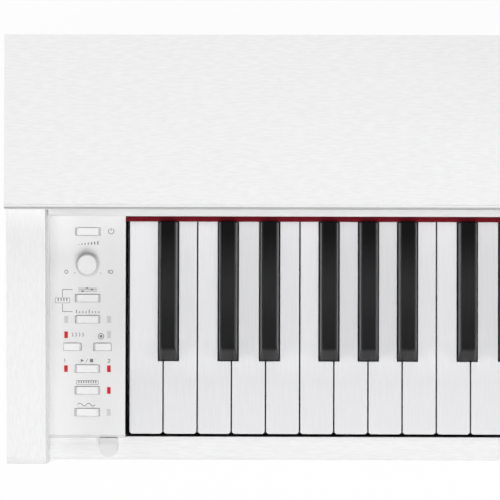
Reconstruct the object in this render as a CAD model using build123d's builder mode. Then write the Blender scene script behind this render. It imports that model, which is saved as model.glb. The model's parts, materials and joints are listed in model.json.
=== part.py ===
from build123d import *

import os
from functools import lru_cache
from math import asin, atan2, cos, radians, sin

# A slim console digital piano on its stand. Millimetres. X runs from the bass end to the treble end,
# the player sits on the -Y side, Z is up and the floor is Z = 0.

# Driving dimensions: keyboard
white_count = 52
white_pitch = 23.6
key_gap = 1.0
key_corner = 1.3
key_end_gap = 2.4
key_height = 730.0
white_depth = 18.0
white_visible = 146.5
white_dip = 10.0
key_tail = 8.0
key_tail_gap = 8.3
sharp_length = 95.0
sharp_rise = 12.0
sharp_base = 13.2
sharp_top = 10.6
sharp_gap = 0.7
sharp_slope = 7.2
sharp_foot = 2.5
sharp_bevel = 0.8
sharp_corner = 1.5
sharp_felt_gap = 0.6
sharp_stem_drop = 1.0
sharp_shift = {"c_sharp": -2.3, "d_sharp": 2.7, "f_sharp": -3.4, "g_sharp": 0.2, "a_sharp": 3.6}
notes = ("c", "c_sharp", "d", "d_sharp", "e", "f", "f_sharp", "g", "g_sharp", "a", "a_sharp", "b")
first_note = 9
key_count = 88

# Driving dimensions: key action
pivot_drop = 14.0
pivot_radius = 2.0
pivot_slot = 5.0
stub_setback = 83.0
stub_length = 6.0
stub_width = 4.0
stub_point = 4.0
stub_reach = 14.0
stub_clearance = 0.3
hammer_setback = 113.0
hammer_drop = 44.0
hammer_width = 7.0
hammer_front = 35.0
hammer_tail_gap = 4.0
hammer_nose = 6.0
hammer_hub = 8.0
hammer_slot_flare = 1.2
hammer_weight_low = 22.0
hammer_weight_high = 4.0
hammer_weight_length = 35.0
rest_clearance = 0.3
stop_length = 10.0
stop_setback = 11.0
stop_clearance = 0.4
frame_thickness = 3.0
frame_end_gap = 1.0
contact_rib = 3.0
contact_width = 36.0
contact_setback = 26.0
contact_rise = 13.0
board_thickness = 1.6

# Driving dimensions: cabinet
side_thickness = 26.5
end_panel_width = 52.4
foot_depth = 299.0
unit_depth = 290.0
unit_drop = 86.0
side_rise = 51.0
side_fall = 16.0
side_front_radius = 5.0
side_heel_radius = 18.0
top_thickness = 17.0
top_setback = 5.6
top_edge_radius = 1.0
panel_board = 12.0
slip_setback = 1.6
slip_thickness = 15.9
slip_drop = 3.0
slip_edge_radius = 2.0
slip_wedge = 8.0
slip_rebate = 1.0
key_front_gap = 2.2
felt_depth = 3.7
felt_height = 4.0
felt_clearance = 0.8
felt_end_gap = 0.3
fascia_depth = 14.0
fascia_height = 17.0

# Driving dimensions: sliding lid in two leaves
lid_rise = 22.0
leaf_thickness = 4.5
leaf_gap = 1.0
lid_back_gap = 5.5
leaf_inset = 8.0
rear_leaf_travel = 75.0
front_leaf_travel = 85.0
lip_depth = 6.5
lip_height = 11.0
lip_edge_radius = 1.5
groove_depth = 4.0
groove_clearance = 0.3
groove_end = 1.0
lid_side_gap = 0.6

# Driving dimensions: control panel
panel_rise = 3.0
panel_depth = 30.0
panel_wall = 2.5
panel_bevel = 2.5
panel_back_gap = 18.2
boss_size = 5.0
board_drop = 13.0
board_margin = 3.0
switch_size = 6.0
switch_height = 3.6
button_width = 17.0
button_depth = 5.0
button_proud = 1.4
button_bevel = 1.4
button_clearance = 0.2
flange_margin = 1.5
flange_thickness = 1.2
flange_clearance = 0.3
plunger_width = 4.0
plunger_depth = 3.0
plunger_gap = 1.2
small_width = 12.0
led_width = 2.4
led_length = 4.5
led_proud = 0.15
led_gap = 1.5
knob_skirt_radius = 8.3
knob_radius = 7.5
knob_top_radius = 6.7
knob_skirt = 1.6
knob_height = 11.0
knob_gap = 0.3
knob_edge = 0.6
shaft_radius = 3.0
shaft_clearance = 0.08
pot_size = 12.0
pot_height = 6.5
pot_gap = 0.3
bumper_width = 12.4
bumper_depth = 12.5
bumper_gap = 0.2
bumper_corner = 6.1
bumper_slope = 3.6
bumper_clearance = 0.5
bumper_offset = 11.3

# Places on the control panel, from its centre line and from the keys' front line
column_offset = 14.85
control_column = {"left": -column_offset, "right": column_offset}
small_offset = 10.3
power_row = 139.5
knob_row = 116.5
function_row = 93.4
metronome_row = 78.8
lamp_row = 68.2
small_row = 59.8
play_row = 44.8
tone_one_row = 29.8
tone_two_row = 14.7

# Driving dimensions: electronics and speakers
main_board_width = 44.0
main_board_gap = 0.5
main_board_rise = 14.0
standoff = 6.0
socket_width = 14.0
socket_height = 11.0
socket_depth = 18.0
socket_pitch = 18.0
socket_mouth_width = 10.0
socket_mouth_height = 3.6
socket_mouth_depth = 12.0
socket_clearance = 0.5
speaker_place = 470.0
speaker_size = 76.0
speaker_flange = 3.0
speaker_depth = 30.0
cone_radius = 32.0
cone_depth = 12.0
dust_cap_radius = 9.0
magnet_radius = 22.0
magnet_depth = 10.0
grille_slot = 5.0
grille_pitch = 12.0
grille_rows = 4
grille_width = 54.0

# Driving dimensions: music rest
rest_width = 560.0
rest_length = 172.0
rest_thickness = 4.0
rest_lean = 15.0
rest_setback = 45.0
rest_ledge = 24.0
rest_stop = 8.0
rest_corner = 14.0
tab_width = 40.0
tab_depth = 10.0
tab_place = 200.0
tab_clearance = 0.2
socket_floor = 0.3

# Driving dimensions: stand
leg_front = 110.0
leg_rear = 28.0
foot_height = 42.0
foot_rise = 5.0
foot_radius = 16.0
leg_fillet = 55.0
rear_panel_height = 300.0
rear_panel_inset = 12.0
pad_length = 30.0
pad_width = 18.0
pad_inset = 16.0
bar_inset = 26.0
bar_depth = 66.0
bar_bottom = 40.0
bar_height = 68.0
bar_wall = 12.0
slot_width = 30.0
slot_height = 46.0
support_radius = 14.0
support_foot = 6.0
support_stem = 6.0

# Driving dimensions: pedals
pedal_spacing = 72.0
pedal_pivot_setback = 46.0
pedal_pivot_rise = 30.0
pedal_reach = 128.0
pedal_width = 25.0
pedal_neck = 16.0
pedal_thickness = 8.0
pedal_drop = 9.0
pedal_blade = 52.0
pin_radius = 3.0
pin_clearance = 0.08
pin_end = 6.0
lug_thickness = 4.0
lug_gap = 0.5
lug_radius = 7.0

# Driving dimensions: cabinet screws
screw_sides = 12
screw_radius = 2.0
screw_length = 9.0
screw_head_radius = 4.5
screw_head = 2.0
screw_clearance = 0.1
screw_margin = 14.0

# Levels and lines worked out from the driving dimensions
keyboard_half = white_count * white_pitch / 2
inner_half = keyboard_half + key_end_gap + end_panel_width
outer_half = inner_half + side_thickness
unit_front = -foot_depth / 2
unit_back = unit_front + unit_depth
unit_bottom = key_height - unit_drop
floor_top = unit_bottom + panel_board
back_inner = unit_back - panel_board
side_top = key_height + side_rise
overall_height = side_top + top_thickness
slip_front = unit_front + slip_setback
slip_back = slip_front + slip_thickness
slip_top = key_height - slip_drop
key_front = slip_back + key_front_gap
key_bottom = key_height - white_depth
key_pivot_z = key_height - pivot_drop
key_rear = back_inner - speaker_depth - key_tail_gap
key_pivot_y = key_rear - key_tail
key_lever = key_pivot_y - key_front
key_throw = asin(white_dip / key_lever)
felt_front = key_front + white_visible
felt_back = felt_front + felt_depth
top_front = felt_back + top_setback
top_depth = unit_back - top_front
sharp_rear = felt_front - sharp_felt_gap
sharp_front = sharp_rear - sharp_length
sharp_peak = key_height + sharp_rise
sharp_slot = sharp_base + 2 * sharp_gap
notch_line = sharp_front - sharp_gap
hammer_y = key_front + hammer_setback
hammer_z = key_height - hammer_drop
hammer_rear = key_lever - hammer_setback - pivot_radius - hammer_tail_gap
stub_y = key_front + stub_setback
stub_bottom = key_bottom - stub_reach
panel_top = key_height + panel_rise
panel_under = panel_top - panel_wall
panel_centre = -inner_half + end_panel_width / 2
panel_front = slip_back - slip_rebate
panel_bottom = panel_top - panel_depth
panel_length = back_inner - panel_back_gap - panel_front
board_top = panel_top - board_drop
lid_angle = atan2(side_fall, top_front - unit_front)
lid_plane = Plane(
    origin=(0, felt_back, key_height + lid_rise),
    x_dir=(1, 0, 0),
    z_dir=(0, -sin(lid_angle), cos(lid_angle)),
)
rear_leaf_level = leaf_thickness + leaf_gap
lid_travel = rear_leaf_travel + front_leaf_travel
front_leaf_length = (back_inner - lid_back_gap - felt_back) / cos(lid_angle)
rear_leaf_length = front_leaf_length - 2 * leaf_inset

os.makedirs("parts", exist_ok=True)


# Keys. Each note name is one group, so that neighbours never move together.
def keyboard_layout():
    """Every key as its note, the left line of its white slot (or of its gap), and its stem's two sides."""
    layout = []
    white_index = 0
    for number in range(key_count):
        note = notes[(first_note + number) % len(notes)]
        line = white_index * white_pitch - keyboard_half
        if note in sharp_shift:
            layout.append((note, line + sharp_shift[note], -sharp_base / 2, sharp_base / 2))
            continue
        before = notes[(first_note + number - 1) % len(notes)]
        after = notes[(first_note + number + 1) % len(notes)]
        left = key_gap / 2
        right = white_pitch - key_gap / 2
        if before in sharp_shift and number > 0:
            left = sharp_shift[before] + sharp_slot / 2
        if after in sharp_shift and number < key_count - 1:
            right = white_pitch + sharp_shift[after] - sharp_slot / 2
        layout.append((note, line, left, right))
        white_index += 1
    return layout


def stub_and_slot(middle, width):
    """The foot that drives the hammer, and the slot that rides on the pivot rail."""
    with BuildPart() as foot:
        with BuildSketch(Plane.YZ.offset(middle - stub_width / 2)):
            with BuildLine():
                Polyline(
                    (stub_y - stub_length / 2, key_bottom),
                    (stub_y + stub_length / 2, key_bottom),
                    (stub_y + stub_length / 2, stub_bottom + stub_point),
                    (stub_y, stub_bottom),
                    (stub_y - stub_length / 2, stub_bottom + stub_point),
                    close=True,
                )
            make_face()
        extrude(amount=stub_width)
    with BuildPart() as slot:
        with BuildSketch(Plane.YZ.offset(middle - width / 2 - key_gap)):
            with Locations((key_pivot_y, (key_bottom + key_pivot_z) / 2)):
                Rectangle(pivot_slot, key_pivot_z - key_bottom + pivot_slot)
        extrude(amount=width + 2 * key_gap)
    return foot.part, slot.part


@lru_cache(maxsize=None)
def white_key(left, right):
    """A white key with its left slot line at X = 0."""
    middle = (left + right) / 2
    foot, slot = stub_and_slot(middle, right - left)
    with BuildPart() as key:
        with BuildSketch(Plane.XY.offset(key_height)) as outline:
            with Locations((white_pitch / 2, (key_front + notch_line) / 2)):
                Rectangle(white_pitch - key_gap, notch_line - key_front)
            with Locations((middle, (key_front + key_rear) / 2)):
                Rectangle(right - left, key_rear - key_front)
            chamfer(outline.vertices().group_by(Axis.Y)[0], length=key_corner)
        extrude(amount=-white_depth)
        add(foot)
        add(slot, mode=Mode.SUBTRACT)
    return key.part


@lru_cache(maxsize=None)
def sharp_key():
    """A black key with its middle at X = 0."""
    foot, slot = stub_and_slot(0, sharp_base)
    with BuildPart() as key:
        with BuildSketch(Plane.XZ.offset(-sharp_rear)):
            with BuildLine():
                Polyline(
                    (-sharp_base / 2, key_bottom),
                    (sharp_base / 2, key_bottom),
                    (sharp_base / 2, key_height),
                    (sharp_top / 2, sharp_peak),
                    (-sharp_top / 2, sharp_peak),
                    (-sharp_base / 2, key_height),
                    close=True,
                )
            make_face()
        extrude(amount=sharp_length)
        with BuildSketch(Plane.YZ):
            with BuildLine():
                Polyline(
                    (sharp_front, key_height + sharp_foot),
                    (sharp_front, sharp_peak),
                    (sharp_front + sharp_slope, sharp_peak),
                    close=True,
                )
            make_face()
        extrude(amount=sharp_base, both=True, mode=Mode.SUBTRACT)
        slope = key.faces().sort_by(Axis.Y)[1]
        chamfer(slope.edges().sort_by(Axis.X)[::3], length=sharp_corner)
        crown = key.faces().filter_by(Axis.Z).sort_by(Axis.Z)[-1]
        chamfer(crown.edges().sort_by(Axis.Y)[:-1], length=sharp_bevel)
        with BuildSketch(Plane.XY.offset(key_bottom)):
            with Locations((0, (sharp_rear + key_rear) / 2)):
                Rectangle(sharp_base, key_rear - sharp_rear)
        extrude(amount=white_depth - sharp_stem_drop)
        add(foot)
        add(slot, mode=Mode.SUBTRACT)
    return key.part


# Weighted hammer: it saddles its rail, its nose lies under the key's foot and its tail is heavy.
nose_slope = (stub_bottom - stub_clearance - hammer_z - hammer_hub) / (hammer_y - stub_y + hammer_hub)
nose_top = hammer_hub + nose_slope * (hammer_front + hammer_hub)
slot_mouth = pivot_slot / 2 + hammer_slot_flare
with BuildPart() as hammer:
    with BuildSketch(Plane.YZ.offset(-hammer_width / 2)):
        with BuildLine():
            Polyline(
                (hammer_y - hammer_front, hammer_z + nose_top),
                (hammer_y - hammer_front, hammer_z + nose_top - hammer_nose),
                (hammer_y - slot_mouth, hammer_z - hammer_hub / 2),
                (hammer_y - pivot_slot / 2, hammer_z + pivot_slot / 2),
                (hammer_y + pivot_slot / 2, hammer_z + pivot_slot / 2),
                (hammer_y + slot_mouth, hammer_z - hammer_hub / 2),
                (hammer_y + hammer_rear - hammer_weight_length, hammer_z - hammer_weight_low),
                (hammer_y + hammer_rear, hammer_z - hammer_weight_low),
                (hammer_y + hammer_rear, hammer_z - hammer_weight_high),
                (hammer_y + hammer_hub, hammer_z + hammer_hub),
                close=True,
            )
        make_face()
    extrude(amount=hammer_width)

layout = keyboard_layout()
for note in notes:
    group = [key for key in layout if key[0] == note]
    spots = {}
    for name, line, left, right in group:
        spots.setdefault((left, right), []).append((line, 0, 0))
    with BuildPart() as keys:
        for (left, right), places in spots.items():
            with Locations(*places):
                add(sharp_key() if note in sharp_shift else white_key(left, right))
    keys.part.label = f"keys_{note}"
    export_step(keys.part, f"parts/keys_{note}.step")
    with BuildPart() as hammers:
        with Locations(*[(line + (left + right) / 2, 0, 0) for name, line, left, right in group]):
            add(hammer.part)
    hammers.part.label = f"hammers_{note}"
    export_step(hammers.part, f"parts/hammers_{note}.step")

# Key frame: one long tray with the key stop, the ribs of the contact board and the two round-topped rails
stop_front = key_front + stop_setback
stop_top = key_bottom - (key_pivot_y - stop_front) * sin(key_throw) - stop_clearance
frame_front = slip_back + key_front_gap
frame_rear = back_inner - speaker_depth - key_front_gap
frame_half = keyboard_half + key_end_gap - frame_end_gap
tray_top = floor_top + frame_thickness
contact_front = key_front + contact_setback
contact_level = tray_top + contact_rise
rest_top = hammer_z - hammer_weight_low - rest_clearance
with BuildPart() as key_frame:
    with BuildSketch(Plane.YZ.offset(-frame_half)):
        with Locations(((frame_front + frame_rear) / 2, floor_top + frame_thickness / 2)):
            Rectangle(frame_rear - frame_front, frame_thickness)
        with Locations((stop_front + stop_length / 2, (floor_top + stop_top) / 2)):
            Rectangle(stop_length, stop_top - floor_top)
        for rib in (contact_front + contact_rib / 2, contact_front + contact_width - contact_rib / 2):
            with Locations((rib, (floor_top + contact_level) / 2)):
                Rectangle(contact_rib, contact_level - floor_top)
        with Locations((hammer_y + hammer_rear - hammer_weight_length / 2, (floor_top + rest_top) / 2)):
            Rectangle(stop_length, rest_top - floor_top)
        for rail_y, rail_z in ((hammer_y, hammer_z), (key_pivot_y, key_pivot_z)):
            with Locations((rail_y, (floor_top + rail_z) / 2)):
                Rectangle(2 * pivot_radius, rail_z - floor_top)
            with Locations((rail_y, rail_z)):
                Circle(pivot_radius)
    extrude(amount=2 * frame_half)
key_frame.part.label = "key_frame"
export_step(key_frame.part, "parts/key_frame.step")

# Side boards: a long arm with a sloping top edge and the two grooves that the lid leaves run in
with BuildPart() as left_side_board:
    with BuildSketch(Plane.YZ.offset(-outer_half)) as profile:
        with BuildLine():
            Polyline(
                (unit_back, unit_bottom),
                (unit_back, side_top),
                (top_front, side_top),
                (unit_front, side_top - side_fall),
                (unit_front, unit_bottom),
                close=True,
            )
        make_face()
        front_corners = profile.vertices().group_by(Axis.X)[0].sort_by(Axis.Y)
        fillet(front_corners[-1], radius=side_front_radius)
        fillet(profile.vertices().group_by(Axis.Y)[0].sort_by(Axis.X)[0], radius=side_heel_radius)
    extrude(amount=side_thickness)
    for level, low, high in (
        (0, -lid_travel, front_leaf_length),
        (rear_leaf_level, leaf_inset - rear_leaf_travel, leaf_inset + rear_leaf_length),
    ):
        with BuildSketch(lid_plane.offset(level - groove_clearance)):
            with Locations((-inner_half - groove_depth / 2, (low + high) / 2)):
                Rectangle(groove_depth, high - low + 2 * groove_end)
        extrude(amount=leaf_thickness + 2 * groove_clearance, mode=Mode.SUBTRACT)
left_side_board.part.label = "left_side_board"
export_step(left_side_board.part, "parts/left_side_board.step")

with BuildPart() as right_side_board:
    mirror(left_side_board.part, about=Plane.YZ)
right_side_board.part.label = "right_side_board"
export_step(right_side_board.part, "parts/right_side_board.step")

# Top board, with the two sockets of the music rest
rest_line = top_front + rest_setback
with BuildPart() as top_board:
    with BuildSketch(Plane.XY.offset(side_top)):
        with Locations((0, (top_front + unit_back) / 2)):
            Rectangle(2 * outer_half, top_depth)
    extrude(amount=top_thickness)
    front_face = top_board.faces().sort_by(Axis.Y)[0]
    fillet(front_face.edges().filter_by(Axis.X), radius=top_edge_radius)
    with BuildSketch(Plane.XY.offset(overall_height)):
        with Locations((-tab_place, rest_line), (tab_place, rest_line)):
            Rectangle(tab_width + 2 * tab_clearance, rest_thickness + 2 * tab_clearance)
    extrude(amount=-tab_depth - socket_floor, mode=Mode.SUBTRACT)
top_board.part.label = "top_board"
export_step(top_board.part, "parts/top_board.step")

# Bottom board, with the standoffs of the main board at the treble end
main_front = key_front + board_margin
main_back = back_inner - main_board_gap
main_centre = inner_half - end_panel_width / 2
main_level = floor_top + main_board_rise
with BuildPart() as bottom_board:
    with BuildSketch(Plane.XY.offset(unit_bottom)):
        with Locations((0, (slip_back + back_inner) / 2)):
            Rectangle(2 * inner_half, back_inner - slip_back)
    extrude(amount=panel_board)
    with BuildSketch(Plane.XY.offset(floor_top)):
        with Locations((main_centre, (main_front + main_back) / 2)):
            with GridLocations(main_board_width - standoff, main_back - main_front - standoff, 2, 2):
                Rectangle(standoff, standoff)
    extrude(amount=main_board_rise)
bottom_board.part.label = "bottom_board"
export_step(bottom_board.part, "parts/bottom_board.step")

# Back board, slotted in front of each speaker, with a window for the sockets and its screw holes
speaker_z = (floor_top + key_height) / 2 + speaker_flange
screw_points = [
    (x, z)
    for x in (-inner_half + screw_margin, 0, inner_half - screw_margin)
    for z in (unit_bottom + panel_board / 2, side_top - screw_margin)
]
socket_level = main_level + board_thickness
socket_row = [main_centre + step * socket_pitch for step in (-0.5, 0.5)]
with BuildPart() as back_board:
    with BuildSketch(Plane.XZ.offset(-unit_back)):
        with Locations((0, (unit_bottom + side_top) / 2)):
            Rectangle(2 * inner_half, side_top - unit_bottom)
        for x in (-speaker_place, speaker_place):
            with Locations((x, speaker_z)):
                with GridLocations(0, grille_pitch, 1, grille_rows):
                    Rectangle(grille_width, grille_slot, mode=Mode.SUBTRACT)
        with Locations((main_centre, socket_level + socket_height / 2)):
            Rectangle(
                socket_pitch + socket_width + 2 * socket_clearance,
                socket_height + 2 * socket_clearance,
                mode=Mode.SUBTRACT,
            )
        with Locations(*screw_points):
            RegularPolygon(
                screw_radius + screw_clearance,
                screw_sides,
                major_radius=False,
                mode=Mode.SUBTRACT,
            )
    extrude(amount=panel_board)
back_board.part.label = "back_board"
export_step(back_board.part, "parts/back_board.step")

with BuildPart() as cabinet_screws:
    with BuildSketch(Plane.XZ.offset(-unit_back)):
        with Locations(*screw_points):
            RegularPolygon(screw_radius, screw_sides)
    extrude(amount=screw_length)
    with BuildSketch(Plane.XZ.offset(-unit_back)):
        with Locations(*screw_points):
            RegularPolygon(screw_head_radius, screw_sides)
    extrude(amount=-screw_head)
cabinet_screws.part.label = "cabinet_screws"
export_step(cabinet_screws.part, "parts/cabinet_screws.step")

# Key slip in front of the keys, with a small wedge at each end that fills in to the arm, and a shallow
# rebate behind where each end panel sits
with BuildPart() as key_slip:
    with BuildSketch(Plane.XY.offset(unit_bottom)):
        with Locations((0, (slip_front + slip_back) / 2)):
            Rectangle(2 * inner_half, slip_thickness)
    extrude(amount=slip_top - unit_bottom)
    fillet(key_slip.edges().filter_by(Axis.X).group_by(Axis.Y)[0], radius=slip_edge_radius)
    with BuildSketch(Plane.XY.offset(unit_bottom + slip_edge_radius)):
        for end in (-inner_half, inner_half):
            wedge_tip = end * (1 - slip_wedge / inner_half)
            with BuildLine():
                Polyline((end, slip_front), (end, unit_front), (wedge_tip, slip_front), close=True)
            make_face()
    extrude(amount=slip_top - unit_bottom - 2 * slip_edge_radius)
    with BuildSketch(Plane.XY.offset(panel_bottom)):
        with Locations((panel_centre, slip_back), (-panel_centre, slip_back)):
            Rectangle(end_panel_width, 2 * slip_rebate)
    extrude(amount=panel_depth, mode=Mode.SUBTRACT)
key_slip.part.label = "key_slip"
export_step(key_slip.part, "parts/key_slip.step")

# Controls: each button as its place, its width, and which ends are bevelled
buttons = {
    "power_button": (0, power_row, button_width, (True, True)),
    "function_button": (0, function_row, button_width, (True, True)),
    "metronome_button": (0, metronome_row, button_width, (True, True)),
    "reverb_button": (-small_offset, small_row, small_width, (False, True)),
    "record_button": (small_offset, small_row, small_width, (True, False)),
    "play_button": (0, play_row, button_width, (True, True)),
    "tone_one_button": (0, tone_one_row, button_width, (True, True)),
    "tone_two_button": (0, tone_two_row, button_width, (True, True)),
}
lit_leds = (("left", lamp_row), ("left", play_row), ("right", play_row), ("right", tone_one_row))
dark_leds = (
    ("left", metronome_row),
    ("right", metronome_row),
    ("right", lamp_row),
    ("right", tone_two_row),
)


def led_points(leds):
    """Places of LED windows in the part's frame."""
    return [(panel_centre + control_column[column], key_front + row) for column, row in leds]


# End panels: shells open below, with a bevelled front edge. The bass one carries the controls.
board_width = end_panel_width - 2 * panel_wall - 2 * board_margin
board_front = key_front + board_margin
board_rear = key_front + power_row + button_depth + board_margin
board_middle = (board_front + board_rear) / 2
knob_place = (panel_centre, key_front + knob_row)
with BuildPart() as end_shell:
    with BuildSketch(Plane.XY.offset(panel_top)):
        with Locations((panel_centre, panel_front + panel_length / 2)):
            Rectangle(end_panel_width, panel_length)
    extrude(amount=-panel_depth)
    chamfer(end_shell.faces().sort_by(Axis.Z)[-1].edges().sort_by(Axis.Y)[0], length=panel_bevel)
    offset(amount=-panel_wall, openings=end_shell.faces().sort_by(Axis.Z)[0])

with BuildPart() as control_panel:
    add(end_shell.part)
    with BuildSketch(Plane.XY.offset(panel_top)):
        for shift, row, width, ends in buttons.values():
            with Locations((panel_centre + shift, key_front + row)):
                Rectangle(width + 2 * button_clearance, button_depth + 2 * button_clearance)
        with Locations(*led_points(lit_leds + dark_leds)):
            Rectangle(led_width, led_length)
        with Locations(knob_place):
            Circle(shaft_radius + shaft_clearance)
    extrude(amount=-panel_wall, mode=Mode.SUBTRACT)
    with BuildSketch(Plane.XY.offset(board_top)):
        with Locations((panel_centre, board_middle)):
            with GridLocations(board_width - boss_size, board_rear - board_front - boss_size, 2, 2):
                Rectangle(boss_size, boss_size)
    extrude(amount=panel_under - board_top)
control_panel.part.label = "control_panel"
export_step(control_panel.part, "parts/control_panel.step")

with BuildPart() as right_end_panel:
    mirror(end_shell.part, about=Plane.YZ)
right_end_panel.part.label = "right_end_panel"
export_step(right_end_panel.part, "parts/right_end_panel.step")

flange_top = panel_under - flange_clearance
flange_bottom = flange_top - flange_thickness
switch_top = board_top + switch_height
for name, (shift, row, width, ends) in buttons.items():
    middle = panel_centre + shift
    with BuildPart() as button:
        with BuildSketch(Plane.XZ.offset(-key_front - row - button_depth / 2)):
            with BuildLine():
                Polyline(
                    (middle - width / 2, flange_top),
                    (middle + width / 2, flange_top),
                    (middle + width / 2, panel_top),
                    (middle + width / 2 - button_bevel * ends[1], panel_top + button_proud),
                    (middle - width / 2 + button_bevel * ends[0], panel_top + button_proud),
                    (middle - width / 2, panel_top),
                    close=True,
                )
            make_face()
        extrude(amount=button_depth)
        with BuildSketch(Plane.XY.offset(flange_bottom)):
            with Locations((middle, key_front + row)):
                Rectangle(width + 2 * flange_margin, button_depth + 2 * flange_margin)
        extrude(amount=flange_thickness)
        with BuildSketch(Plane.XY.offset(switch_top + plunger_gap)):
            with Locations((middle, key_front + row)):
                Rectangle(plunger_width, plunger_depth)
        extrude(amount=flange_bottom - switch_top - plunger_gap)
    button.part.label = name
    export_step(button.part, f"parts/{name}.step")

# Volume knob: a tapered cap with a skirt, on a shaft through the panel
pot_top = board_top + pot_height
knob_plane = Plane(origin=(*knob_place, 0), x_dir=(1, 0, 0), z_dir=(0, -1, 0))
with BuildPart() as volume_knob:
    with BuildSketch(knob_plane) as knob_profile:
        with BuildLine():
            Polyline(
                (0, panel_top + knob_gap),
                (knob_skirt_radius, panel_top + knob_gap),
                (knob_skirt_radius, panel_top + knob_gap + knob_skirt),
                (knob_radius, panel_top + knob_gap + knob_skirt),
                (knob_top_radius, panel_top + knob_height),
                (0, panel_top + knob_height),
                close=True,
            )
        make_face()
        chamfer(knob_profile.vertices().group_by(Axis.Y)[-1].sort_by(Axis.X)[-1], length=knob_edge)
    revolve(axis=Axis((*knob_place, 0), (0, 0, 1)))
    with BuildSketch(Plane.XY.offset(pot_top + pot_gap)):
        with Locations(knob_place):
            Circle(shaft_radius)
    extrude(amount=panel_top + knob_gap - pot_top - pot_gap)
volume_knob.part.label = "volume_knob"
export_step(volume_knob.part, "parts/volume_knob.step")

# LED windows: light pipes that fill their holes and reach down to the control board's LEDs
for name, leds in (("lit_led_windows", lit_leds), ("dark_led_windows", dark_leds)):
    with BuildPart() as windows:
        with BuildSketch(Plane.XY.offset(board_top + led_gap)):
            with Locations(*led_points(leds)):
                Rectangle(led_width, led_length)
        extrude(amount=panel_top + led_proud - board_top - led_gap)
    windows.part.label = name
    export_step(windows.part, f"parts/{name}.step")

# Circuit boards: control board with its switches and potentiometer, key contact board, main board
with BuildPart() as circuit_boards:
    with BuildSketch(Plane.XY.offset(board_top)):
        with Locations((panel_centre, board_middle)):
            Rectangle(board_width, board_rear - board_front)
    extrude(amount=-board_thickness)
    with BuildSketch(Plane.XY.offset(board_top)):
        for shift, row, width, ends in buttons.values():
            with Locations((panel_centre + shift, key_front + row)):
                Rectangle(switch_size, switch_size)
    extrude(amount=switch_height)
    with BuildSketch(Plane.XY.offset(board_top)):
        with Locations(knob_place):
            Rectangle(pot_size, pot_size)
    extrude(amount=pot_height)
    with BuildSketch(Plane.XY.offset(contact_level)):
        with Locations((0, contact_front + contact_width / 2)):
            Rectangle(2 * keyboard_half, contact_width)
    extrude(amount=board_thickness)
    with BuildSketch(Plane.XY.offset(main_level)):
        with Locations((main_centre, (main_front + main_back) / 2)):
            Rectangle(main_board_width, main_back - main_front)
    extrude(amount=board_thickness)
    with BuildSketch(Plane.XY.offset(socket_level)):
        with Locations(*[(x, unit_back - socket_depth / 2) for x in socket_row]):
            Rectangle(socket_width, socket_depth)
    extrude(amount=socket_height)
    with BuildSketch(Plane.XZ.offset(-unit_back)):
        with Locations(*[(x, socket_level + socket_height / 2) for x in socket_row]):
            Rectangle(socket_mouth_width, socket_mouth_height)
    extrude(amount=socket_mouth_depth, mode=Mode.SUBTRACT)
circuit_boards.part.label = "circuit_boards"
export_step(circuit_boards.part, "parts/circuit_boards.step")

# Fascia rail behind the keys, and the felt strip on its front
with BuildPart() as key_fascia:
    with BuildSketch(Plane.XY.offset(panel_top)):
        with Locations((0, felt_back + fascia_depth / 2)):
            Rectangle(2 * inner_half, fascia_depth)
    extrude(amount=fascia_height)
key_fascia.part.label = "key_fascia"
export_step(key_fascia.part, "parts/key_fascia.step")

felt_bottom = key_height + felt_clearance
with BuildPart() as felt_strip:
    with BuildSketch(Plane.XY.offset(felt_bottom)):
        with Locations((0, felt_front + felt_depth / 2)):
            Rectangle(2 * (keyboard_half + key_end_gap - felt_end_gap), felt_depth)
    extrude(amount=felt_height)
felt_strip.part.label = "felt_strip"
export_step(felt_strip.part, "parts/felt_strip.step")

# Sliding lid: the front leaf has the pull lip, the rear leaf lies on top of it and both run in the grooves
leaf_half = inner_half + groove_depth - lid_side_gap
with BuildPart() as lid_front_leaf:
    with BuildSketch(lid_plane):
        with Locations((0, front_leaf_length / 2)):
            Rectangle(2 * leaf_half, front_leaf_length)
    extrude(amount=leaf_thickness)
    with BuildSketch(lid_plane):
        with Locations((0, lip_depth / 2)):
            Rectangle(2 * (inner_half - lid_side_gap), lip_depth)
    extrude(amount=lip_height)
    lip_front = lid_front_leaf.faces().sort_by(Axis.Y)[0]
    fillet(lip_front.edges().sort_by(Axis.Z)[-1], radius=lip_edge_radius)
lid_front_leaf.part.label = "lid_front_leaf"
export_step(lid_front_leaf.part, "parts/lid_front_leaf.step")

with BuildPart() as lid_rear_leaf:
    with BuildSketch(lid_plane.offset(rear_leaf_level)):
        with Locations((0, leaf_inset + rear_leaf_length / 2)):
            Rectangle(2 * leaf_half, rear_leaf_length)
    extrude(amount=leaf_thickness)
lid_rear_leaf.part.label = "lid_rear_leaf"
export_step(lid_rear_leaf.part, "parts/lid_rear_leaf.step")

# Speakers: square frame on the back board, cone facing the slots, magnet behind
with BuildPart() as speaker:
    with BuildSketch(Plane.XZ.offset(-back_inner)):
        Rectangle(speaker_size, speaker_size)
        Circle(cone_radius, mode=Mode.SUBTRACT)
    extrude(amount=speaker_flange)
    with BuildSketch(Plane.XY):
        with BuildLine():
            Polyline(
                (0, back_inner - cone_depth),
                (dust_cap_radius, back_inner - cone_depth),
                (cone_radius, back_inner),
                (cone_radius, back_inner - speaker_flange),
                (magnet_radius, back_inner - speaker_depth + magnet_depth),
                (magnet_radius, back_inner - speaker_depth),
                (0, back_inner - speaker_depth),
                close=True,
            )
        make_face()
    revolve(axis=Axis.Y)
with BuildPart() as speakers:
    with Locations((-speaker_place, 0, speaker_z), (speaker_place, 0, speaker_z)):
        add(speaker.part)
speakers.part.label = "speakers"
export_step(speakers.part, "parts/speakers.step")

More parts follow.
